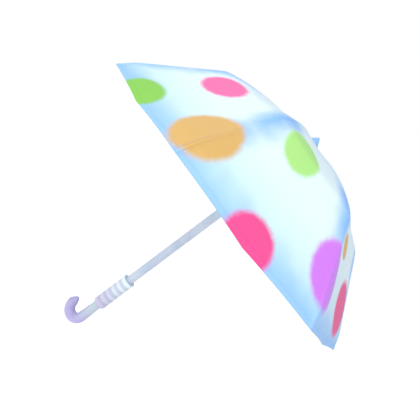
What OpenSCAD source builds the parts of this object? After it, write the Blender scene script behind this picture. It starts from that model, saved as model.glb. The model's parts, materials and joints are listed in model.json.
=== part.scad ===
// Stick umbrella with eight ribs, a domed fabric canopy and a crook handle.
// Millimetres. The origin is the middle of the hand grip on the shaft's axis, and +Z points to the tip.
// The canopy is drawn open. Rib 1 and the crook's mouth both point along +X.

/* [Canopy] */
// Radius of the rim, measured at a rib's tip
rim_r = 350; // [320:1:380]
// Height of the rim above the middle of the grip
rim_z = 326; // [310:1:340]
// Height of the dome above the rim
dome_h = 217; // [205:1:230]
// Radius of the shoulder, where the ribs hinge
shoulder_r = 231; // [220:1:240]
// Height of the shoulder above the rim
shoulder_h = 149; // [140:1:158]
// Radius of the knee near the rim, where the sheet turns steeper
knee_r = 335.5; // [334:0.5:337]
// Height of the knee above the rim
knee_h = 25; // [22:1:28]
// How far the hem hangs below the rim halfway between two ribs
hem_dip = 5; // [0:0.5:8]
// Thickness of the canopy's solid
sheet_t = 0.8; // [0.6:0.1:1]

/* [Frame] */
// Depth of the rib's centre line below the outside of the sheet
rib_drop = 5; // [4.8:0.1:6]
// Radius at which the ribs and stretchers hinge on the crown and the runner
hinge_r = 16.5; // [16:0.5:18]
// Height of the crown's hinge pins
crown_pin_z = 535.5; // [534:0.5:536]
// Angle of the upper links below level when the umbrella is closed
closed_angle = 87; // [80:0.5:88]
// Radius of the hinge pins
pin_r = 1; // [0.8:0.1:1.2]
// Radial running clearance on every pin
pin_gap = 0.05; // [0.02:0.01:0.1]

/* [Shaft and handle] */
// Outer radius of the shaft
shaft_r = 10; // [9.5:0.5:10.5]
// Wall of the shaft's tube
shaft_wall = 1.5; // [1:0.5:2]
// Outer radius of the grip sleeve
grip_r = 16; // [15:0.5:17]
// Length of the grip sleeve
grip_len = 90; // [80:1:95]
// Number of soft rings around the grip
grip_rings = 5; // [4:1:8]
// Radius of the crook's stock round the bend
crook_r = 12; // [11:0.5:12.5]
// Radius of the crook's stock where it leaves the grip
crook_neck_r = 10.2; // [9.5:0.1:11]
// Radius of the crook's bend, to the middle of its stock
bend_r = 21; // [20:1:26]
// Height of the centre of the bend
bend_z = -100; // [-115:1:-95]

/* [Hidden] */
RIBS = 8;
STEP = 360 / RIBS;
HALF = STEP / 2;
$fn = 48;

// The dome's profile: a shallow bowl, then a straight flank, then a steeper lip, blended where they meet.
bowl_c = (dome_h - shoulder_h) / pow(shoulder_r, 2);
flank = (shoulder_h - knee_h) / (knee_r - shoulder_r);
lip = knee_h / (rim_r - knee_r);
BLEND = 2.5;
function bowl_z(r) = dome_h - bowl_c * r * r;
function flank_z(r) = shoulder_h - flank * (r - shoulder_r);
function lip_z(r) = lip * (rim_r - r);
function soft_min(a, b, k) = min(a, b) - k * ln(1 + exp(-abs(a - b) / k));
function dome_z(r) = rim_z + soft_min(soft_min(bowl_z(r), flank_z(r), BLEND), lip_z(r), BLEND);
function dome_slope(r) = atan(dome_z(r - 0.5) - dome_z(r + 0.5));

// A point d below the outside of the sheet, square to it, as [radius, height].
function below(r, d) = [r - d * sin(dome_slope(r)), dome_z(r) - d * cos(dome_slope(r))];
// The ribs dip a little more towards the crown, so that they end on their pins.
function crown_ease(r) = pow(max(0, 1 - (r - hinge_r) / 45), 2);
crown_dip = below(hinge_r, rib_drop)[1] - crown_pin_z;
function rib_line(r) = below(r, rib_drop) - [0, crown_dip * crown_ease(r)];

// The linkage: crown pin, knuckle and runner pin make an isosceles triangle at every angle.
crown_pin = [hinge_r, crown_pin_z];
knuckle = rib_line(shoulder_r);
link = norm(knuckle - crown_pin);
open_angle = atan2(crown_pin[1] - knuckle[1], knuckle[0] - crown_pin[0]);
runner_pin = [hinge_r, crown_pin_z - 2 * link * sin(open_angle)];
runner_travel = 2 * link * (sin(closed_angle) - sin(open_angle));

// Thicknesses across each hinge, as distances from the middle plane of a rib.
TONGUE = 0.9;
FORK_IN = 1.1;
FORK_OUT = 2;
WALL_IN = 2.2;
WALL_OUT = 3.2;
PIN_END = 3.4;
EYE_R = 2.6;
SLOT = 1.3;
BODY = 1.6;
bore_r = pin_r + pin_gap;

crown_r = 21;
crown_low = 530;
crown_top = 540.5;
plate_z = 538;
seat_r = 13.3;
stud_r = 4;
cap_z = 543.7;
cap_r = 24;
cap_h = 30;
top_edge_r = 20;
patch_r = 17.5;
runner_r = shaft_r + 0.05;
sleeve_r = 13;
head_half = 6;
sleeve_drop = 43;
catch_az = 292.5;
catch_w = 3;
catch_slot_w = 3.8;
tip_len = 9;
tip_r = 2.6;
hook_taper = 8;
hook_tip_r = 7;
rod_half = 1.6;
rod_end_r = rim_r - 3;
tip_dir = rib_line(rod_end_r) - rib_line(rod_end_r - 3);
tip_tilt = atan2(tip_dir[0], tip_dir[1]);
edge_gap = 0.15;

// The runner's upper stop, the two catches and the window that the closed catch clicks into.
stop_r = 1.5;
stop_z = runner_pin[1] + head_half + stop_r + 0.3;
catch_len = 26;
nose_h = 11;
nose_out = 3.4;
open_catch_z = runner_pin[1] - sleeve_drop - 0.4;
window_z = runner_pin[1] - 20;
closed_catch_z = window_z - runner_travel + 6;
catch_pin_x = shaft_r - shaft_wall - 1;
catch_pin_z = 2.5 - catch_len;
// The catch pins end inside the shaft's wall, so that the runner slides past them.
catch_pin_half = 5;

frame_steel = [0.80, 0.82, 0.85];
shaft_blue = [0.70, 0.77, 0.85];
pearl = [0.86, 0.85, 0.95];
lilac = [0.76, 0.74, 0.90];
sky = [0.60, 0.80, 1.00];
ice = [0.88, 0.98, 1.00];
white_plastic = [0.93, 0.94, 0.97];

// Turns a flat outline drawn as [radius, height] into a plate that stands in the rib's plane.
module upright(half) {
    rotate([90, 0, 0]) linear_extrude(height = 2 * half, center = true) children();
}

module cross_pin(at, r, half) {
    translate([at[0], 0, at[1]]) rotate([90, 0, 0]) cylinder(r = r, h = 2 * half, center = true);
}

module around() {
    for (k = [0 : RIBS - 1]) rotate([0, 0, k * STEP]) children();
}

// A band that follows the rib line between two fabric radii, from depth d0 to depth d1 off its centre.
module rib_band(r0, r1, d0, d1, steps) {
    rs = [for (i = [0 : steps]) r0 + (r1 - r0) * i / steps];
    function offset_at(r, d) = rib_line(r) + d * [sin(dome_slope(r)), cos(dome_slope(r))];
    polygon(concat([for (r = rs) offset_at(r, d1)],
                   [for (i = [steps : -1 : 0]) offset_at(rs[i], d0)]));
}

module shaft_tube() color(shaft_blue) difference() {
    translate([0, 0, -grip_len / 2]) cylinder(r = shaft_r, h = plate_z + grip_len / 2);
    translate([0, 0, -grip_len]) cylinder(r = shaft_r - shaft_wall, h = plate_z + 2 * grip_len);
    for (z = [open_catch_z, closed_catch_z])
        rotate([0, 0, catch_az])
            translate([0, -catch_slot_w / 2, z - catch_len - 2])
                cube([shaft_r + 5, catch_slot_w, catch_len + 4]);
    translate([0, 0, stop_z]) rotate([90, 0, HALF]) cylinder(r = stop_r, h = 60, center = true);
    catch_pins();
}

module crook_handle() color(lilac) {
    grip_foot = -grip_len / 2;
    translate([0, 0, grip_foot]) cylinder(r = shaft_r - shaft_wall, h = 30);
    translate([0, 0, bend_z]) cylinder(r1 = crook_r, r2 = crook_neck_r, h = grip_foot - bend_z);
    translate([bend_r, 0, bend_z]) rotate([90, 0, 0]) rotate([0, 0, 180])
        rotate_extrude(angle = 180) translate([bend_r, 0]) circle(r = crook_r);
    translate([2 * bend_r, 0, bend_z]) rotate_extrude() hook_end();
}

// Half outline of the crook's free end: a taper and a round tip.
module hook_end() {
    polygon(concat([[0, 0], [crook_r, 0]],
                   [for (a = [30 : 10 : 90]) [hook_tip_r * cos(a), hook_taper + hook_tip_r * sin(a)]]));
}

// The sleeve has a plain collar at each end and soft rings between them.
module grip_sleeve() color(pearl) rotate_extrude() {
    collar = 6;
    ring_depth = 0.5;
    half = grip_len / 2;
    span = grip_len - 2 * collar;
    n = grip_rings * 8;
    polygon(concat([[shaft_r, -half], [grip_r - 1, -half], [grip_r, 1 - half], [grip_r, collar - half]],
                   [for (i = [1 : n - 1])
                       [grip_r - ring_depth * (1 - cos(360 * grip_rings * i / n)) / 2,
                        collar - half + span * i / n]],
                   [[grip_r, half - collar], [grip_r, half - 1], [grip_r - 1, half], [shaft_r, half]]));
}

module crown() color(white_plastic) difference() {
    translate([0, 0, crown_low]) cylinder(r = crown_r, h = crown_top - crown_low);
    translate([0, 0, crown_low - 1]) cylinder(r = shaft_r, h = plate_z - crown_low + 1);
    translate([0, 0, crown_low]) cylinder(r = stud_r, h = 20);
    around() translate([seat_r, -SLOT, crown_low - 1]) cube([20, 2 * SLOT, 20]);
    around() cross_pin(crown_pin, pin_r, 4.5);
}

module crown_pins() color(frame_steel) around() cross_pin(crown_pin, pin_r, 4.5);

// The stiff round patch that closes the middle of the sheet and clamps it on the crown.
module canopy_top() color(sky) rotate_extrude()
    polygon([[stud_r + 0.05, crown_top], [patch_r, crown_top], [patch_r, cap_z - 0.9],
             [cap_r - 0.5, cap_z - 0.9], [cap_r, cap_z - 0.05], [stud_r + 0.05, cap_z - 0.05]]);

module ferrule_cap() color(sky) rotate_extrude()
    polygon(concat([[0, 515], [stud_r, 515], [stud_r, cap_z], [cap_r - 0.5, cap_z], [cap_r, cap_z + 0.7]],
                   [for (a = [30 : 15 : 90]) [1.6 * cos(a), cap_z + cap_h - 1.6 + 1.6 * sin(a)]]));

// Three pins cross the shaft: the runner's upper stop, and one that each catch swings on.
module shaft_pins() color(frame_steel) {
    translate([0, 0, stop_z]) rotate([90, 0, HALF]) cylinder(r = stop_r, h = 2 * sleeve_r, center = true);
    catch_pins();
}

module catch_pins()
    for (z = [open_catch_z, closed_catch_z])
        rotate([0, 0, catch_az]) cross_pin([catch_pin_x, z + catch_pin_z], pin_r, catch_pin_half);

module runner() color(white_plastic) difference() {
    union() {
        translate([0, 0, runner_pin[1] - head_half]) cylinder(r = crown_r, h = 2 * head_half);
        translate([0, 0, runner_pin[1] - sleeve_drop]) cylinder(r = sleeve_r, h = sleeve_drop);
        translate([0, 0, runner_pin[1] - sleeve_drop]) cylinder(r = sleeve_r + 3, h = 4);
    }
    translate([0, 0, runner_pin[1] - 2 * sleeve_drop]) cylinder(r = runner_r, h = 4 * sleeve_drop);
    around() translate([seat_r, -SLOT, runner_pin[1] - head_half - 1])
        cube([20, 2 * SLOT, 2 * head_half + 2]);
    around() cross_pin(runner_pin, pin_r, 4.5);
    rotate([0, 0, catch_az])
        translate([0, -catch_slot_w / 2, window_z - 7]) cube([sleeve_r + 5, catch_slot_w, 14]);
}

module runner_pins() color(frame_steel) around() cross_pin(runner_pin, pin_r, 4.5);

// A flat lever in the shaft's slot. Its nose has a square shoulder on top. It swings in about its lower end.
module catch_lever(z) {
    inner_r = shaft_r - shaft_wall - 3;
    outer_r = shaft_r - 0.4;
    rotate([0, 0, catch_az]) translate([0, 0, z]) difference() {
        upright(catch_w / 2) polygon([[inner_r, 0], [shaft_r + nose_out, 0], [shaft_r + nose_out, -1.5],
                                      [outer_r, -nose_h], [outer_r, -catch_len], [inner_r, -catch_len]]);
        cross_pin([catch_pin_x, catch_pin_z], bore_r, 4);
    }
}

module open_catch() color(frame_steel) catch_lever(open_catch_z);
module closed_catch() color(frame_steel) catch_lever(closed_catch_z);

// The upper link of a rib: a channel open underneath, with an eye at each end, and the knuckle's pin.
module rib_inner() color(frame_steel) {
    body_start = hinge_r + 10;
    body_end = shoulder_r - 5;
    difference() {
        union() {
            upright(TONGUE) rib_band(hinge_r, shoulder_r, -2, 2, 24);
            upright(BODY) rib_band(body_start, body_end, -2, 2, 22);
            cross_pin(crown_pin, EYE_R, TONGUE);
            cross_pin(knuckle, EYE_R, TONGUE);
        }
        upright(TONGUE - 0.1) rib_band(body_start + 4, body_end - 5, -3, 1, 22);
        cross_pin(crown_pin, bore_r, 4);
    }
    cross_pin(knuckle, pin_r, PIN_END);
}

// The outer link: a fork over the upper link's tongue, then a rod that follows the sheet to the rim.
module rib_outer() color(frame_steel) difference() {
    union() {
        upright(FORK_OUT) rib_band(shoulder_r, shoulder_r + 8, -rod_half, rod_half, 3);
        cross_pin(knuckle, EYE_R, FORK_OUT);
        upright(BODY) rib_band(shoulder_r + 5, rod_end_r, -rod_half, rod_half, 14);
    }
    cross_pin(knuckle, EYE_R + 0.7, FORK_IN);
    cross_pin(knuckle, bore_r, 4);
}

module rib_tip() color(white_plastic) difference() {
    translate([rib_line(rod_end_r)[0], 0, rib_line(rod_end_r)[1]]) rotate([0, tip_tilt, 0]) {
        translate([0, 0, -tip_len]) cylinder(r = tip_r, h = tip_len);
        sphere(r = tip_r);
    }
    upright(BODY) rib_band(shoulder_r + 5, rod_end_r, -rod_half, rod_half, 14);
}

// The stretcher: a channel open underneath whose walls straddle the knuckle, with a tongue at the runner.
module stretcher() color(frame_steel)
    translate([runner_pin[0], 0, runner_pin[1]]) rotate([0, -open_angle, 0]) difference() {
        union() {
            upright(TONGUE) polygon([[0, -2], [16, -2], [16, 2], [0, 2]]);
            cross_pin([0, 0], EYE_R, TONGUE);
            for (side = [-1, 1]) {
                wall_mid = side * (WALL_IN + WALL_OUT) / 2;
                translate([0, wall_mid, 0]) upright((WALL_OUT - WALL_IN) / 2)
                    polygon([[9.5, -2], [link, -2], [link, 2], [9.5, 2]]);
                translate([0, wall_mid, 0]) cross_pin([link, 0], EYE_R, (WALL_OUT - WALL_IN) / 2);
            }
            upright(WALL_OUT) polygon([[9.5, 1], [link - 14, 1], [link - 14, 2], [9.5, 2]]);
            upright(WALL_OUT) polygon([[9.5, -2], [12, -2], [12, 2], [9.5, 2]]);
        }
        cross_pin([0, 0], bore_r, 4);
        cross_pin([link, 0], bore_r, 8);
    }

// One rib's share of the sheet: half a gore on each side of the rib, between two fabric radii.
// Rows run outwards, columns run across from one gore's middle to the next, and the rib is the ridge between.
module sheet_panel(r0, r1, rows) {
    cols = 4;
    function dip(r, v) = hem_dip * v * v * pow(max(0, (r - shoulder_r) / (rim_r - shoulder_r)), 3);
    function ridge(r, v) = r * (1 - abs(v) * pow(sin(HALF), 2));
    function across(r, v) = v * (r * sin(HALF) * cos(HALF) - edge_gap);
    function face(r, v, d) = let (a = dome_slope(r), az = HALF * v)
        [ridge(r, v) - d * sin(a) * cos(az),
         across(r, v) - d * sin(a) * sin(az),
         dome_z(r) - dip(r, v) - d * cos(a)];
    rs = [for (i = [0 : rows]) r0 + (r1 - r0) * i / rows];
    vs = [for (j = [0 : cols]) 2 * j / cols - 1];
    w = cols + 1;
    n = w * (rows + 1);
    points = [for (d = [0, sheet_t]) for (r = rs) for (v = vs) face(r, v, d)];
    function quad(a, b, c, d) = [[a, b, c], [a, c, d]];
    function at(i, j) = i * w + j;
    outside = [for (i = [0 : rows - 1]) for (j = [0 : cols - 1])
        each quad(at(i, j), at(i, j + 1), at(i + 1, j + 1), at(i + 1, j))];
    inside = [for (f = outside) [f[2] + n, f[1] + n, f[0] + n]];
    ends = [for (j = [0 : cols - 1])
        each concat(quad(at(0, j + 1), at(0, j), at(0, j) + n, at(0, j + 1) + n),
                    quad(at(rows, j), at(rows, j + 1), at(rows, j + 1) + n, at(rows, j) + n))];
    sides = [for (i = [0 : rows - 1])
        each concat(quad(at(i, 0), at(i + 1, 0), at(i + 1, 0) + n, at(i, 0) + n),
                    quad(at(i + 1, cols), at(i, cols), at(i, cols) + n, at(i + 1, cols) + n))];
    polyhedron(points = points, faces = concat(outside, inside, ends, sides), convexity = 4);
}

module canopy_inner() color(ice) sheet_panel(top_edge_r, shoulder_r - 0.2, 7);
module canopy_outer() color(ice) sheet_panel(shoulder_r + 0.2, rim_r, 7);

// Places a piece drawn on rib 1 at rib k.
module on_rib(k) rotate([0, 0, (k - 1) * STEP]) children();

shaft_tube();
crook_handle();
grip_sleeve();
crown();
crown_pins();
canopy_top();
ferrule_cap();
shaft_pins();
runner();
runner_pins();
open_catch();
closed_catch();
for (k = [1 : RIBS]) {
    on_rib(k) rib_inner();
    on_rib(k) rib_outer();
    on_rib(k) rib_tip();
    on_rib(k) stretcher();
    on_rib(k) canopy_inner();
    on_rib(k) canopy_outer();
}
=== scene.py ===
"""Looks for a spotted stick umbrella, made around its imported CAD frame. Metres, in the row frame."""
import json
import math
import bpy
import numpy as np
from mathutils import Matrix, Vector


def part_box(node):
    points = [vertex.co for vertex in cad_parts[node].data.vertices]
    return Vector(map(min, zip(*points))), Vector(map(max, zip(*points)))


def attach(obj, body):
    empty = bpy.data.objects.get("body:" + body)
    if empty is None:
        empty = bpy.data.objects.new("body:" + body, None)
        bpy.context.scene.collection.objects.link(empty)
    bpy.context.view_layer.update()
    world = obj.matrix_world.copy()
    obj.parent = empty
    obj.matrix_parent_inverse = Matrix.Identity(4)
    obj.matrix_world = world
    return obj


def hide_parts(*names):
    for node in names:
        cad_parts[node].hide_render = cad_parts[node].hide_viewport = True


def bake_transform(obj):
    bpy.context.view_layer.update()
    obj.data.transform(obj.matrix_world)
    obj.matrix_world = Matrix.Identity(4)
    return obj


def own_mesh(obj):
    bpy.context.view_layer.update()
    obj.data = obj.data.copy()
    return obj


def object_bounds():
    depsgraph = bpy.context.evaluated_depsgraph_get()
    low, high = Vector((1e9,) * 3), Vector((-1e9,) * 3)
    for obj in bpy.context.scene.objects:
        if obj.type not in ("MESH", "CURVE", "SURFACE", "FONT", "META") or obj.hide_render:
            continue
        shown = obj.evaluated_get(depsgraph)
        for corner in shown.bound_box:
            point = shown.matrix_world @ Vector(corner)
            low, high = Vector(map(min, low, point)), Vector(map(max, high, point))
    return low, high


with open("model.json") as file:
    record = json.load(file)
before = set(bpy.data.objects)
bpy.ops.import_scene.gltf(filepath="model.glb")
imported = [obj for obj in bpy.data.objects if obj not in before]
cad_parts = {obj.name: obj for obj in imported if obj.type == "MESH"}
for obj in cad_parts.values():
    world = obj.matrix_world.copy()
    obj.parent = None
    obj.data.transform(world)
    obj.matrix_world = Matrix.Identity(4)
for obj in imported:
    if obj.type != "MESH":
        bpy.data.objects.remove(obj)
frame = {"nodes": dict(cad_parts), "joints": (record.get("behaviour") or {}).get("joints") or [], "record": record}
cad_box = [list(corner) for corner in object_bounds()]

# ---------------------------------------------------------------- the frame's own sizes
RIBS = 8
STEP = math.tau / RIBS
HALF = STEP / 2
joints = {j["name"]: j for j in frame["joints"]}
ratios = {c["joint"]: c["ratio"] for c in frame["record"]["behaviour"]["couplings"]}
CROWN_PIN = joints["canopy_fold"]["pos_m"]
KNUCKLE = joints["rib_1_flex"]["pos_m"]
FOLD = math.radians(joints["canopy_fold"]["range_deg"][1])
FLEX = FOLD * ratios["rib_1_flex"]
RIM_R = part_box("canopy_outer_1")[1].x
HEM_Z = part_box("canopy_outer_1")[0].z
# The CAD's inner solids stop this far short of the shoulder.
SHOULDER_CUT = 0.0002
SHOULDER_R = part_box("canopy_inner_1")[1].x + SHOULDER_CUT
# The cloth's inner edge, under the cap.
INNER_R = 0.020
# How far the hem hangs below the rim halfway between two ribs.
HEM_DIP = 0.005
RIM_Z = HEM_Z + HEM_DIP

# The dome's profile, as the CAD draws it: a bowl, a straight flank and a steeper lip, blended
# where they meet.
DOME_H = 0.217
SHOULDER_H = 0.149
KNEE_R = 0.3355
KNEE_H = 0.025
BLEND = 0.0015


def soft_min(a, b):
    return np.minimum(a, b) - BLEND * np.log1p(np.exp(-np.abs(a - b) / BLEND))


def dome_z(r):
    bowl = DOME_H - (DOME_H - SHOULDER_H) * (r / SHOULDER_R) ** 2
    flank = SHOULDER_H - (SHOULDER_H - KNEE_H) * (r - SHOULDER_R) / (KNEE_R - SHOULDER_R)
    lip = KNEE_H * (RIM_R - r) / (RIM_R - KNEE_R)
    return RIM_Z + soft_min(soft_min(bowl, flank), lip)


# ---------------------------------------------------------------- the camera
# It looks at AIM from DISTANCE metres away. Half the picture's width spans HALF_VIEW.
bpy.context.scene.view_settings.view_transform = "Standard"
AIM = Vector((0.0168, 0.0076, 0.2910))
DISTANCE = 0.6659
AZIMUTH = math.radians(105.55)
ELEVATION = math.radians(4.69)
ROLL = math.radians(53.02)
HALF_VIEW = math.radians(35)
SENSOR_WIDTH = 36


def make_camera():
    data = bpy.data.cameras.new("camera")
    data.sensor_width = SENSOR_WIDTH
    data.lens = data.sensor_width / 2 / math.tan(HALF_VIEW)
    data.clip_start = 0.01
    back = Vector((math.cos(AZIMUTH) * math.cos(ELEVATION),
                   math.sin(AZIMUTH) * math.cos(ELEVATION),
                   math.sin(ELEVATION)))
    level = (-back).to_track_quat("-Z", "Y").to_matrix()
    camera = bpy.data.objects.new("camera", data)
    camera.matrix_world = Matrix.Translation(AIM + back * DISTANCE) @ (
        level @ Matrix.Rotation(ROLL, 3, "Z")).to_4x4()
    bpy.context.collection.objects.link(camera)
    bpy.context.scene.camera = camera


# ---------------------------------------------------------------- small node helpers
class Shader:
    """A Principled material with helpers that add and join nodes."""

    def __init__(self, name, base, roughness, **sockets):
        self.material = bpy.data.materials.new(name)
        self.material.use_nodes = True
        self.tree = self.material.node_tree
        self.out = self.tree.nodes["Principled BSDF"]
        self.out.inputs["Base Color"].default_value = (*base, 1)
        self.out.inputs["Roughness"].default_value = roughness
        for key, value in sockets.items():
            self.out.inputs[key.replace("_", " ")].default_value = value

    def node(self, kind, **settings):
        made = self.tree.nodes.new(kind)
        for key, value in settings.items():
            setattr(made, key, value)
        return made

    def join(self, a, b):
        self.tree.links.new(a, b)

    def put(self, socket, value):
        """Sets an input to a number or colour, or joins it to another socket."""
        if isinstance(value, bpy.types.NodeSocket):
            self.join(value, socket)
        else:
            socket.default_value = value

    def math(self, op, *values):
        made = self.node("ShaderNodeMath", operation=op)
        for i, value in enumerate(values):
            self.put(made.inputs[i], value)
        return made.outputs[0]

    def ramp(self, value, low, high, to_low=0.0, to_high=1.0):
        """A smooth step from to_low to to_high as value goes from low to high."""
        made = self.node("ShaderNodeMapRange", interpolation_type="SMOOTHSTEP")
        for i, v in enumerate((value, low, high, to_low, to_high)):
            self.put(made.inputs[i], v)
        return made.outputs[0]

    def mix(self, share, a, b):
        made = self.node("ShaderNodeMix", data_type="RGBA")
        self.put(made.inputs[0], share)
        for i, v in ((6, a), (7, b)):
            self.put(made.inputs[i], v if isinstance(v, bpy.types.NodeSocket) else (*v, 1))
        return made.outputs[2]

    def attribute(self, name):
        return self.node("ShaderNodeAttribute", attribute_name=name)

    def noise(self, at, scale, detail, roughness=0.5):
        made = self.node("ShaderNodeTexNoise")
        self.join(at, made.inputs["Vector"])
        made.inputs["Scale"].default_value = scale
        made.inputs["Detail"].default_value = detail
        made.inputs["Roughness"].default_value = roughness
        return made.outputs["Fac"]

    def split(self, vector):
        made = self.node("ShaderNodeSeparateXYZ")
        self.join(vector, made.inputs[0])
        return made.outputs

    def wave(self, at, scale, direction):
        made = self.node("ShaderNodeTexWave", bands_direction=direction)
        self.join(at, made.inputs["Vector"])
        made.inputs["Scale"].default_value = scale
        return made.outputs["Fac"]

    def place(self):
        """Where a point is on its own mesh, in metres."""
        return self.node("ShaderNodeTexCoord").outputs["Object"]

    def bump(self, height, distance, strength):
        made = self.node("ShaderNodeBump")
        made.inputs["Strength"].default_value = strength
        made.inputs["Distance"].default_value = distance
        self.join(height, made.inputs["Height"])
        self.join(made.outputs[0], self.out.inputs["Normal"])

    def color(self, value):
        self.put(self.out.inputs["Base Color"], value)

    def roughness(self, value):
        self.put(self.out.inputs["Roughness"], value)


# ---------------------------------------------------------------- the canopy's cloth
# ICE is the cloth's own colour; FROST and SKY are the blues of its painted shade, and SKY also makes the thread
# bluer.
ICE = (0.83, 0.985, 1.0)
FROST = (0.66, 0.91, 1.0)
SKY = (0.29, 0.57, 1.0)
LIME = (0.46, 0.87, 0.23)
GREEN = (0.27, 0.66, 0.07)
PINK = (1.0, 0.15, 0.42)
HOT_PINK = (0.93, 0.075, 0.29)
ORANGE = (0.78, 0.47, 0.13)
PURPLE = (0.72, 0.21, 0.95)
# Each spot: its place round the rim in degrees, its radius on the dome, its half-length along the rib,
# its half-width across, and its colour.
SPOTS = [
    (62.9, 0.345, 0.036, 0.042, GREEN),
    (61.6, 0.255, 0.039, 0.039, PINK),
    (87.6, 0.318, 0.053, 0.042, ORANGE),
    (105.0, 0.234, 0.043, 0.036, LIME),
    (112.4, 0.348, 0.038, 0.038, HOT_PINK),
    (135.6, 0.301, 0.052, 0.042, PURPLE),
    (146, 0.258, 0.019, 0.029, ORANGE),
    (168.5, 0.310, 0.049, 0.052, HOT_PINK),
    (190, 0.250, 0.041, 0.036, LIME),
    (203, 0.338, 0.040, 0.043, GREEN),
    (224, 0.300, 0.050, 0.042, PURPLE),
    (243, 0.240, 0.034, 0.038, PINK),
    (252, 0.342, 0.040, 0.044, ORANGE),
    (274, 0.285, 0.046, 0.040, LIME),
    (295, 0.338, 0.040, 0.044, HOT_PINK),
    (302, 0.242, 0.037, 0.034, PURPLE),
    (322, 0.308, 0.050, 0.042, ORANGE),
    (343, 0.250, 0.038, 0.036, GREEN),
    (354, 0.335, 0.040, 0.045, PINK),
    (15, 0.290, 0.044, 0.046, PURPLE),
    (27, 0.216, 0.030, 0.034, ORANGE),
    (38, 0.340, 0.040, 0.042, LIME),
]
# Softness of a spot's edge, as a share of its size, and how much of the cloth's colour it hides.
SPOT_EDGE = 0.15
SPOT_COVER = 0.98
WEAVE_SCALE = 320
# How far the sky-blue painted shade reaches from the hem and from a rib, in metres.
RIM_SHADE = 0.060
RIB_SHADE = 0.038
# How much paler the inner face of the cloth is.
INNER_FADE = 0.35
# How much bluer the thread is than the cloth.
THREAD_TINT = 0.22


def gore_radius(azimuth):
    """How much nearer the axis the flat gores are than their ribs, at an azimuth."""
    return math.cos(HALF) / math.cos(azimuth % STEP - HALF)


def dome_point(azimuth, radius):
    flat = radius * gore_radius(azimuth)
    return Vector((flat * math.cos(azimuth), flat * math.sin(azimuth), float(dome_z(np.float64(radius)))))


def spot_frame(azimuth, radius):
    """A spot's middle on the dome, and a turn whose Z lies along the rib and whose X points out."""
    centre = dome_point(azimuth, radius)
    along = (dome_point(azimuth, radius + 0.001) - centre).normalized()
    side = Vector((-math.sin(azimuth), math.cos(azimuth), 0))
    return centre, Matrix((side.cross(along), side, along)).transposed().to_euler()


def cloth_color(s):
    """The cloth's dye, its painted shade and its spots, and the soft noise that its finish follows too."""
    rest = s.attribute("rest").outputs["Vector"]
    to_rib, to_rim, to_shoulder = s.split(s.attribute("cloth").outputs["Vector"])
    cloudy = s.noise(rest, 22, 2)
    brush = s.noise(rest, 130, 3, 0.6)
    wobble = s.math("MULTIPLY", s.math("SUBTRACT", cloudy, 0.5), 0.03)
    # Painted shade: sky blue fading in from the hem, and beside each rib where the cloth creases near the
    # shoulder.
    rim = s.ramp(s.math("ADD", to_rim, wobble), 0.0, RIM_SHADE, 0.86, 0)
    ridge = s.ramp(s.math("ADD", to_rib, wobble), 0.0, RIB_SHADE, 1, 0)
    near_shoulder = s.ramp(to_shoulder, 0.028, 0.095, 1, 0.2)
    below_shoulder = s.ramp(to_rim, 0.10, 0.17, 0.75, 0)
    rib_crease_shade = s.math("MULTIPLY", ridge, s.math("MAXIMUM", near_shoulder, below_shoulder))
    painted_shade = s.math("MAXIMUM", rim, rib_crease_shade)
    # More painted shade: the lower part of each gore turns frost blue towards the hem.
    pale = s.mix(s.ramp(to_rim, 0.02, 0.13, 0.9, 0), ICE, FROST)
    color = s.mix(painted_shade, pale, SKY)
    edge = s.math("MULTIPLY", s.math("SUBTRACT", brush, 0.5), 0.16)
    for azimuth, radius, length, width, tint in SPOTS:
        centre, turn = spot_frame(math.radians(azimuth), radius)
        local = s.node("ShaderNodeMapping", vector_type="TEXTURE")
        s.join(rest, local.inputs["Vector"])
        local.inputs["Location"].default_value = centre
        local.inputs["Rotation"].default_value = turn
        local.inputs["Scale"].default_value = (width, width, length)
        far = s.node("ShaderNodeVectorMath", operation="LENGTH")
        s.join(local.outputs[0], far.inputs[0])
        reach = s.math("ADD", far.outputs["Value"], edge)
        share = s.ramp(reach, 1 - SPOT_EDGE, 1 + SPOT_EDGE, SPOT_COVER, 0)
        color = s.mix(share, color, tint)
    return color, cloudy


def canopy_cloth():
    """Tightly woven polyester: ice blue, with deeper-blue painted shade along the rim and the ribs, and airbrushed
    spots.
    """
    s = Shader("canopy_cloth", ICE, 0.6, Sheen_Weight=0.12, Sheen_Roughness=0.5, Specular_IOR_Level=0.22)
    color, cloudy = cloth_color(s)
    weave_at = s.attribute("weave").outputs["Vector"]
    inner_face = s.split(weave_at)[2]
    s.color(s.mix(s.math("MULTIPLY", inner_face, INNER_FADE), color, ICE))
    warp = s.wave(weave_at, WEAVE_SCALE, "X")
    weft = s.wave(weave_at, WEAVE_SCALE, "Y")
    s.roughness(s.math("ADD", s.math("MULTIPLY", cloudy, 0.16), 0.50))
    s.bump(s.math("MULTIPLY", warp, weft), 0.0001, 0.5)
    return s.material


def sewing_thread():
    """Twisted polyester thread, coloured like the cloth with its painted shade, and a little bluer."""
    s = Shader("sewing_thread", FROST, 0.55, Sheen_Weight=0.15, Specular_IOR_Level=0.22)
    color, cloudy = cloth_color(s)
    s.color(s.mix(THREAD_TINT, color, SKY))
    s.roughness(s.ramp(cloudy, 0.3, 0.7, 0.50, 0.64))
    s.bump(s.noise(s.place(), 4000, 2), 0.00003, 0.5)
    return s.material


def binding_tape():
    """Ribbed woven tape for the ties under the cloth."""
    s = Shader("binding_tape", (0.60, 0.78, 0.94), 0.7, Sheen_Weight=0.3, Sheen_Roughness=0.4)
    at = s.place()
    s.color(s.mix(s.noise(at, 200, 3), (0.54, 0.73, 0.92), (0.66, 0.83, 0.96)))
    s.roughness(s.ramp(s.noise(at, 500, 3), 0.3, 0.7, 0.62, 0.78))
    s.bump(s.wave(at, WEAVE_SCALE, "DIAGONAL"), 0.00008, 0.5)
    return s.material


# ---------------------------------------------------------------- the canopy's sheet
SHEET_T = 0.0005
# How far the sheet sags between two ribs, and the lengths over which the sag sets in from the
# top and the hem.
SAG = 0.0022
SAG_START = 0.03
SAG_TOP = 0.12
SAG_HEM = 0.10
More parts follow.
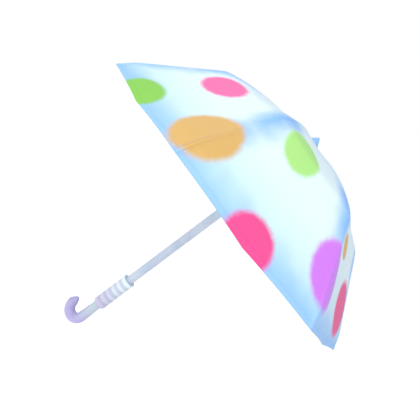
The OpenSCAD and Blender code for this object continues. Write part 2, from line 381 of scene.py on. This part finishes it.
# The seam on each rib and the hem: their widths, how far they stand up, and how gently they step up.
SEAM_HALF = 0.0034
SEAM_RISE = 0.0004
HEM_WIDTH = 0.008
HEM_RISE = 0.0004
STEP_UP = 0.0012
# The puckers beside a seam: their height and length, how fast they fade, and how far off they begin.
PUCKER = 0.00028
PUCKER_LENGTH = 0.016
PUCKER_FADE = 0.010
PUCKER_START = 0.004
# The sheet rounds over each rib with this radius.
RIB_ROUND = 0.0022
# The mesh's steps along the rib, and across it, where they crowd towards the seam.
ROW_GAP = 0.004
MIN_ROWS = 8
COLUMNS = 11
CROWDING = 1.6
# The sheet is cut into rings where it has to gather by different amounts as the umbrella closes.
RING_EDGES = [INNER_R, 0.034, 0.052, 0.074, 0.100, 0.130, 0.165, 0.200, SHOULDER_R]
STITCH_PITCH = 0.0036
STITCH_GAP = 0.0007
STITCH_R = 0.00028
THREAD_SIDES = 6
# How far the stitches run from the middle of the seam and from the edge of the hem.
SEAM_STITCH = 0.0024
HEM_STITCH = 0.0062
# The places of the ties that hold the cloth to each rib, as radii on the dome.
TIES = [0.125, 0.290, 0.3435]
TIE_WIDTH = 0.0045
TAPE_T = 0.0005
# How far a tie reaches below the cloth, its half-width round the rib, and what a tip cap adds to both.
TIE_DEPTH = 0.0072
TIE_HALF = 0.0024
TIP_EXTRA = 0.0006
# When closed, a share is kept this much wider than its narrowest place needs.
KEEP_MARGIN = 1.02


def arc_length():
    """The rib's length from the middle of the dome, as a table of radius and length."""
    r = np.linspace(0, RIM_R, 3501)
    z = dome_z(r)
    return r, np.concatenate([[0], np.cumsum(np.hypot(np.diff(r), np.diff(z)))])


ARC_R, ARC_S = arc_length()
RIM_S = ARC_S[-1]
SHOULDER_S = float(np.interp(SHOULDER_R, ARC_R, ARC_S))


def smooth_step(x):
    x = np.clip(x, 0, 1)
    return x * x * (3 - 2 * x)


def base_point(r, v):
    """A point of the bare sheet on rib 1's share, and how far it is from the hem along the rib.
    r is its radius at the rib, and v goes from -1 to 1 across."""
    half_width = r * math.sin(HALF) * math.cos(HALF)
    rounding = np.minimum(RIB_ROUND / np.maximum(half_width, 1e-4), 0.3)
    across = np.sqrt(v * v + rounding**2) - (np.sqrt(1 + rounding**2) - 1) * v * v
    to_rim = RIM_S - np.interp(r, ARC_R, ARC_S)
    x = r * (1 - across * math.sin(HALF) ** 2)
    y = half_width * v
    lip = np.clip((r - SHOULDER_R) / (RIM_R - SHOULDER_R), 0, 1)
    z = dome_z(r) - HEM_DIP * v * v * lip**3
    return np.stack([x, y, z], -1), to_rim


def normals_of(r, v):
    """Unit normals of the bare sheet, pointing out."""
    d = 1e-5
    a = base_point(r + d, v)[0] - base_point(r - d, v)[0]
    b = base_point(r, v + 1e-3)[0] - base_point(r, v - 1e-3)[0]
    n = np.cross(a, b)
    return n / np.linalg.norm(n, axis=-1, keepdims=True)


def sheet_surface(r, v):
    """The finished outside of the sheet, with its sag, seam, hem and puckers, and its measures."""
    p, to_rim = base_point(r, v)
    n = normals_of(r, v)
    to_rib = np.abs(v) * r * math.sin(HALF)
    s = RIM_S - to_rim
    belly = smooth_step((s - SAG_START) / SAG_TOP) * smooth_step(to_rim / SAG_HEM)
    lift = -SAG * belly * np.sin(math.pi * np.abs(v) / 2) ** 2
    lift = lift + SEAM_RISE * smooth_step((SEAM_HALF + STEP_UP / 2 - to_rib) / STEP_UP)
    lift = lift + HEM_RISE * smooth_step((HEM_WIDTH + STEP_UP / 2 - to_rim) / STEP_UP)
    ripple = PUCKER * np.sin(math.tau * s / PUCKER_LENGTH)
    lift = lift + ripple * np.exp(-to_rib / PUCKER_FADE) * smooth_step(to_rib / PUCKER_START)
    return p + n * lift[..., None], to_rib, to_rim, s


def surface_normals(r, v):
    """Unit normals of the finished outside, the same on both sides of every cut."""
    d, e = 4e-4, 4e-4 / np.maximum(r * math.sin(HALF), 1e-3)
    a = sheet_surface(np.clip(r + d, 0, RIM_R), v)[0] - sheet_surface(r - d, v)[0]
    b = sheet_surface(r, v + e)[0] - sheet_surface(r, v - e)[0]
    n = np.cross(a, b)
    return n / np.linalg.norm(n, axis=-1, keepdims=True)


def closed_place(point, outer):
    """Where a point of rib 1's share goes when the umbrella is fully closed."""
    for pivot, angle in ([(KNUCKLE, FLEX)] if outer else []) + [(CROWN_PIN, FOLD)]:
        dx, dz = point[0] - pivot[0], point[2] - pivot[2]
        point = np.array([pivot[0] + dx * math.cos(angle) + dz * math.sin(angle), point[1],
                          pivot[2] - dx * math.sin(angle) + dz * math.cos(angle)])
    return point


def fold_plan(r0, r1, side, outer):
    """The axis and anchor that a share flattens along, and how much of it is kept, so that its edges
    meet its neighbours' half-way between two ribs when the umbrella is closed."""
    axis, anchor = np.array([0.0, 1.0, 0.0]), np.zeros(3)
    if outer:
        ends = [base_point(np.float64(r), 0.0)[0] for r in (r0 + 0.01, KNEE_R - 0.01)]
        along = (ends[1] - ends[0]) / np.linalg.norm(ends[1] - ends[0])
        across = np.array([-math.sin(HALF) ** 2, side * math.sin(HALF) * math.cos(HALF), 0])
        axis = across - (across @ along) * along
        axis /= np.linalg.norm(axis)
        anchor = (ends[0] + ends[1]) / 2
    keeps = []
    for r in np.linspace(r0, min(r1, KNEE_R), 9):
        edge = base_point(np.float64(r), float(side or 1))[0]
        gap = []
        for keep in (0, 1):
            x, y, _ = closed_place(edge - (1 - keep) * ((edge - anchor) @ axis) * axis, outer)
            gap.append(abs(y) - math.tan(HALF) * x)
        keeps.append(gap[0] / (gap[0] - gap[1]))
    return axis, anchor, min(max(keeps) * KEEP_MARGIN, 1.0)


def columns(side):
    """Steps across a rib's share, or one side of it, close together near the seam."""
    u = np.linspace(0, 1, COLUMNS) ** CROWDING
    if side:
        return side * (u if side > 0 else u[::-1])
    return np.concatenate([-u[::-1], u[1:]])


def new_mesh(name, points, faces, material, normals=None):
    mesh = bpy.data.meshes.new(name)
    mesh.from_pydata(points.tolist(), [], faces)
    mesh.shade_smooth()
    if normals is not None:
        mesh.normals_split_custom_set_from_vertices(normals.tolist())
    mesh.materials.append(material)
    made = bpy.data.objects.new(name, mesh)
    bpy.context.collection.objects.link(made)
    return made


def mark_cloth(piece, rest, measures, weave=None):
    """Gives a mesh the attributes that the cloth's colour and weave read."""
    values = {"rest": rest, "cloth": measures, "weave": weave}
    for key, table in values.items():
        if table is not None:
            made = piece.data.attributes.new(key, "FLOAT_VECTOR", "POINT")
            made.data.foreach_set("vector", table.astype(np.float32).ravel())


def thread_mesh(name, r, v, turn, material):
    """Short tapered dashes of thread lying on the sheet. r and v are tables: a row for each dash."""
    place, to_rib, to_rim, s = sheet_surface(r, v)
    normal = surface_normals(r, v)
    along = np.gradient(place, axis=1)
    along /= np.linalg.norm(along, axis=-1, keepdims=True)
    across = np.cross(normal, along)
    steps, sides = r.shape[1], THREAD_SIDES
    swell = np.sin(np.linspace(0.12, 0.88, steps) * math.pi)
    rise = STITCH_R * (1.1 * swell - 0.9)
    angle = np.arange(sides) * math.tau / sides
    middle = place + normal * rise[None, :, None]
    ring = (across[:, :, None] * np.cos(angle)[:, None] + normal[:, :, None] * np.sin(angle)[:, None])
    points = middle[:, :, None] + ring * (STITCH_R * swell)[None, :, None, None]
    faces = []
    for dash in range(r.shape[0]):
        first = dash * steps * sides
        for i in range(steps - 1):
            for j in range(sides):
                a, b = first + i * sides + j, first + i * sides + (j + 1) % sides
                faces.append((a, b, b + sides, a + sides))
        faces.append(tuple(first + j for j in reversed(range(sides))))
        faces.append(tuple(first + (steps - 1) * sides + j for j in range(sides)))
    points = points.reshape(-1, 3) @ turn.T
    thread = new_mesh(name, points, faces, material)
    measures = np.stack([to_rib, to_rim, np.abs(s - SHOULDER_S)], -1)
    mark_cloth(thread, points, np.repeat(measures.reshape(-1, 3), sides, axis=0))
    return thread


def seam_thread(name, r0, r1, side, hem, turn, material):
    """The dashes beside a rib's seam between two radii, and along the hem where hem is set."""
    s0, s1 = (float(np.interp(r, ARC_R, ARC_S)) for r in (r0, r1))
    step = np.linspace(0, 1, 5)
    count = max(1, int((s1 - s0) / STITCH_PITCH))
    pitch = (s1 - s0) / count
    s = s0 + pitch * np.arange(count)[:, None] + STITCH_GAP / 2 + (pitch - STITCH_GAP) * step
    r = np.interp(s, ARC_S, ARC_R)
    ways = [side] if side else [-1, 1]
    tables = [(r, way * SEAM_STITCH / (r * math.sin(HALF))) for way in ways]
    if hem:
        hem_r = float(np.interp(RIM_S - HEM_STITCH, ARC_S, ARC_R))
        width = hem_r * math.sin(HALF)
        count = int((width - 2 * SEAM_STITCH) / STITCH_PITCH)
        starts = 2 * SEAM_STITCH + STITCH_PITCH * np.arange(count)[:, None]
        y = starts + (STITCH_PITCH - STITCH_GAP) * step
        tables.append((hem_r + 0 * y, side * np.minimum(y / width, 0.999)))
    r, v = (np.concatenate([table[i] for table in tables]) for i in (0, 1))
    return thread_mesh(name, r, v, turn, material)


def make_panel(name, r0, r1, side, turn, cloth):
    """A closed thin shell over one rib between two radii, with the cloth's measures as attributes."""
    s0, s1 = (float(np.interp(r, ARC_R, ARC_S)) for r in (r0, r1))
    s = np.linspace(s0, s1, max(MIN_ROWS, round((s1 - s0) / ROW_GAP)) + 1)
    if r1 >= RIM_R - 1e-6:
        edge = RIM_S - HEM_WIDTH
        s = np.unique(np.concatenate([s[s < edge - 0.002], edge + np.array([-0.0008, 0, 0.0008]),
                                      np.linspace(edge + 0.0025, s1, 4)]))
    v = columns(side)
    rows, cols = len(s), len(v)
    r = np.interp(s, ARC_S, ARC_R)[:, None] * np.ones((1, cols))
    vv = np.ones((rows, 1)) * v[None, :]
    top, to_rib, to_rim, ss = sheet_surface(r, vv)
    n = surface_normals(r, vv)
    low = top - n * SHEET_T
    points = np.concatenate([top.reshape(-1, 3), low.reshape(-1, 3)]) @ turn.T
    normal = np.concatenate([n.reshape(-1, 3), -n.reshape(-1, 3)]) @ turn.T

    def at(i, j, face=0):
        return (face * rows + i) * cols + j

    faces = []
    for i in range(rows - 1):
        for j in range(cols - 1):
            faces.append((at(i, j), at(i + 1, j), at(i + 1, j + 1), at(i, j + 1)))
            faces.append((at(i, j, 1), at(i, j + 1, 1), at(i + 1, j + 1, 1), at(i + 1, j, 1)))
        faces.append((at(i, 0), at(i, 0, 1), at(i + 1, 0, 1), at(i + 1, 0)))
        faces.append((at(i, cols - 1), at(i + 1, cols - 1), at(i + 1, cols - 1, 1), at(i, cols - 1, 1)))
    for j in range(cols - 1):
        faces.append((at(0, j), at(0, j + 1), at(0, j + 1, 1), at(0, j, 1)))
        faces.append((at(rows - 1, j), at(rows - 1, j, 1), at(rows - 1, j + 1, 1), at(rows - 1, j + 1)))
    piece = new_mesh(name, points, faces, cloth, normal)
    measures = np.stack([to_rib, to_rim, np.abs(ss - SHOULDER_S)], -1).reshape(-1, 3)
    weave = np.stack([ss, vv * r * math.sin(HALF), 0 * ss], -1).reshape(-1, 3)
    mark_cloth(piece, points, np.tile(measures, (2, 1)), np.concatenate([weave, weave + [0, 0, 1]]))
    shares = 1 if side else 2
    flat = (shares * r1 * math.sin(HALF), s1 - s0)
    return piece, flat, shares * (r0 + r1) / 2 * math.sin(HALF) * (s1 - s0)


def make_tie(name, radius, turn, tape):
    """A loop of tape from the cloth down round the rib."""
    x, _, z = base_point(np.float64(radius), 0.0)[0]
    n = surface_normals(np.float64(radius), np.float64(0.0))
    along = np.array([n[2], 0, -n[0]])
    extra = TIP_EXTRA if radius > KNEE_R else 0
    depth, half = TIE_DEPTH + extra, TIE_HALF + extra
    bend = np.linspace(0, math.pi, 13)
    y = np.concatenate([[half + 0.0012], half * np.cos(bend), [-half - 0.0012]])
    down = np.concatenate([[0.0006], depth - half + half * np.sin(bend), [0.0006]])
    inner = np.stack([y, down], -1)
    slope = np.gradient(inner, axis=0)
    out = np.stack([slope[:, 1], -slope[:, 0]], -1)
    out /= np.linalg.norm(out, axis=1, keepdims=True)
    points, count = [], len(inner)
    for loop in (inner, inner + TAPE_T * out):
        for shift in (-TIE_WIDTH / 2, TIE_WIDTH / 2):
            for py, pd in loop:
                points.append(np.array([x, 0, z]) + along * shift - n * pd + np.array([0, py, 0]))
    a, b, c, d = (range(k * count, (k + 1) * count) for k in range(4))
    faces = []
    for i in range(count - 1):
        for p, q in ((a, b), (b, d), (d, c), (c, a)):
            faces.append((p[i], p[i + 1], q[i + 1], q[i]))
    faces += [(a[0], b[0], d[0], c[0]), (a[-1], c[-1], d[-1], b[-1])]
    return new_mesh(name, np.array(points) @ turn.T, faces, tape)


def make_canopy():
    cloth, thread, tape = canopy_cloth(), sewing_thread(), binding_tape()
    shares = [("inner", r0, r1, 0) for r0, r1 in zip(RING_EDGES, RING_EDGES[1:])]
    shares += [("outer", SHOULDER_R, RIM_R, side) for side in (-1, 1)]
    for rib in range(RIBS):
        turn = np.array(Matrix.Rotation(rib * STEP, 3, "Z"))
        for i, (part, r0, r1, side) in enumerate(shares):
            outer = part == "outer"
            body = f"rib_{rib + 1}" + ("_outer" if outer else "")
            axis, anchor, keep = fold_plan(r0, r1, side, outer)
            label = f"{part}_{rib + 1}_{i + 1}"
            piece, flat, area = make_panel("cloth_" + label, r0, r1, side, turn, cloth)
            stitches = seam_thread("thread_" + label, r0, r1, side, outer, turn, thread)
            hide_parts(f"canopy_{part}_{rib + 1}")
            for made in (piece, stitches):
                if r0 == INNER_R:
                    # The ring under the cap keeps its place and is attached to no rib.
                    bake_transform(made)
                else:
                    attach(made, body)
                    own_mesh(made)
        for i, radius in enumerate(TIES):
            tie = make_tie(f"tie_{rib + 1}_{i + 1}", radius, turn, tape)
            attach(tie, f"rib_{rib + 1}" + ("_outer" if radius > SHOULDER_R else ""))


# ---------------------------------------------------------------- finishes for the frame's own parts
def lacquered_tube():
    """Satin grey-blue lacquer over a drawn tube, a little paler in soft patches spread at random."""
    s = Shader("lacquered_tube", (0.47, 0.53, 0.62), 0.34, Coat_Weight=0.3, Coat_Roughness=0.2)
    at = s.place()
    patches = s.noise(at, 14, 2)
    s.color(s.mix(s.ramp(patches, 0.35, 0.65), (0.48, 0.55, 0.66), (0.62, 0.66, 0.74)))
    s.roughness(s.ramp(s.noise(at, 60, 3), 0.3, 0.7, 0.28, 0.40))
    s.bump(s.noise(at, 500, 2), 0.00001, 0.3)
    return s.material


def handle_rubber(name, low, high, span, groove=None, rough=0.45, lean=0.0):
    """Soft moulded handle whose colour drifts along its length, with painted shade in its grooves where groove is
    set.
    """
    s = Shader(name, low, rough, Coat_Weight=0.1, Coat_Roughness=0.35)
    at = s.place()
    parts = s.split(at)
    along = s.math("SUBTRACT", parts[2], s.math("MULTIPLY", s.math("ABSOLUTE", parts[0]), lean))
    drift = s.math("ADD", along, s.math("MULTIPLY", s.math("SUBTRACT", s.noise(at, 45, 2), 0.5), 0.03))
    color = s.mix(s.ramp(drift, *span), low, high)
    if groove:
        # Painted shade: where the surface dips below the handle's full radius, into a groove, it is darkened.
        squares = [s.math("MULTIPLY", part, part) for part in (parts[0], parts[1])]
        from_axis = s.math("SQRT", s.math("ADD", *squares))
        groove_shade = tuple(0.66 * c for c in low)
        color = s.mix(s.ramp(from_axis, *groove, 0.5, 0), color, groove_shade)
    s.color(color)
    s.roughness(s.ramp(s.noise(at, 90, 4), 0.3, 0.7, rough - 0.07, rough + 0.09))
    s.bump(s.noise(at, 900, 2), 0.00004, 0.4)
    return s.material


def moulded(name, base, other, roughness, **sockets):
    """Moulded plastic or rubber: a little cloudiness, a fine orange peel and some handling marks."""
    s = Shader(name, base, roughness, **sockets)
    at = s.place()
    s.color(s.mix(s.noise(at, 35, 4), base, other))
    s.roughness(s.ramp(s.noise(at, 90, 5), 0.3, 0.7, roughness - 0.06, roughness + 0.10))
    s.bump(s.noise(at, 1400, 2), 0.00004, 0.35)
    return s.material


def zinc_steel():
    s = Shader("zinc_steel", (0.60, 0.62, 0.65), 0.34, Metallic=1.0)
    at = s.place()
    s.color(s.mix(s.noise(at, 60, 4), (0.54, 0.56, 0.60), (0.68, 0.70, 0.73)))
    s.roughness(s.ramp(s.noise(at, 300, 5), 0.3, 0.7, 0.26, 0.45))
    s.bump(s.noise(at, 2200, 3), 0.00002, 0.4)
    return s.material


# Where the crook's colour starts to change, and the depth of the grip's grooves, over which painted shade darkens
# them.
CROOK_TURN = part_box("crook_handle")[0].z + 0.034
GROOVE = 0.0005


def dress_frame():
    """Gives every CAD part that stays in view a finish of its own."""
    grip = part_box("grip_sleeve")
    finishes = {
        "shaft_tube": lacquered_tube(),
        "crook_handle": handle_rubber("crook_lilac", (0.46, 0.42, 0.68), (0.50, 0.58, 0.64),
                                      (CROOK_TURN - 0.018, CROOK_TURN + 0.03), rough=0.38, lean=1.5),
        "grip_sleeve": handle_rubber("grip_pearl", (0.56, 0.52, 0.70), (0.74, 0.86, 0.90),
                                     (grip[0].z, grip[1].z), groove=(grip[1].x - GROOVE, grip[1].x)),
        "canopy_top": moulded("cap_blue", (0.30, 0.58, 0.98), (0.36, 0.64, 1.0), 0.42),
        "ferrule_cap": moulded("cap_sky", (0.30, 0.58, 0.98), (0.40, 0.68, 1.0), 0.36),
        "white": moulded("frame_white", (0.80, 0.83, 0.88), (0.88, 0.90, 0.93), 0.36),
        "steel": zinc_steel(),
    }
    for name, node in frame["nodes"].items():
        if name in finishes:
            material = finishes[name]
        elif name.startswith(("crown", "runner", "rib_tip")) and not name.endswith("pins"):
            material = finishes["white"]
        else:
            material = finishes["steel"]
        node.data.materials.clear()
        node.data.materials.append(material)


# ---------------------------------------------------------------- stage and light
FLOOR_DROP = 0.10
FLOOR_HALF = 30
FLOOR_GLOW = 0.84
SKY_LIGHT = 0.50
COOL_WHITE = (0.94, 0.99, 1.12)


def make_world():
    """Soft white light from all round. What the camera sees behind the object is plain white."""
    world = bpy.data.worlds.new("world")
    world.use_nodes = True
    tree = world.node_tree
    lit = tree.nodes["Background"]
    lit.inputs["Color"].default_value = (*COOL_WHITE, 1)
    lit.inputs["Strength"].default_value = SKY_LIGHT
    seen = tree.nodes.new("ShaderNodeBackground")
    seen.inputs["Color"].default_value = (1, 1, 1, 1)
    path = tree.nodes.new("ShaderNodeLightPath")
    both = tree.nodes.new("ShaderNodeMixShader")
    tree.links.new(path.outputs["Is Camera Ray"], both.inputs[0])
    tree.links.new(lit.outputs[0], both.inputs[1])
    tree.links.new(seen.outputs[0], both.inputs[2])
    tree.links.new(both.outputs[0], tree.nodes["World Output"].inputs["Surface"])
    bpy.context.scene.world = world


def make_floor():
    """A plain pale floor below the crook, bright enough to meet the white behind it."""
    floor_z = cad_box[0][2] - FLOOR_DROP
    mesh = bpy.data.meshes.new("floor")
    corners = [(-FLOOR_HALF, -FLOOR_HALF), (FLOOR_HALF, -FLOOR_HALF), (FLOOR_HALF, FLOOR_HALF),
               (-FLOOR_HALF, FLOOR_HALF)]
    mesh.from_pydata([(x, y, floor_z) for x, y in corners], [], [(0, 1, 2, 3)])
    floor = bpy.data.objects.new("floor", mesh)
    finish = Shader("floor_white", (0.45, 0.45, 0.45), 0.9, Emission_Color=(1, 1, 1, 1),
                    Emission_Strength=FLOOR_GLOW)
    mesh.materials.append(finish.material)
    bpy.context.collection.objects.link(floor)


LIGHTS = [
    # name, place in the camera's own axes, size and power
    ("key", (0.30, 0.84, 1.22), 0.9, 18.5),
    ("rim_light", (0.2, 1.6, -1.6), 1.0, 3),
]


def make_lights():
    camera = bpy.context.scene.camera.matrix_world
    for name, place, size, power in LIGHTS:
        data = bpy.data.lights.new(name, "AREA")
        data.size = size
        data.energy = power
        lamp = bpy.data.objects.new(name, data)
        lamp.location = camera @ Vector(place)
        lamp.rotation_mode = "QUATERNION"
        lamp.rotation_quaternion = (AIM - lamp.location).to_track_quat("-Z", "Y")
        bpy.context.collection.objects.link(lamp)


make_camera()
make_world()
make_floor()
make_lights()
make_canopy()
dress_frame()
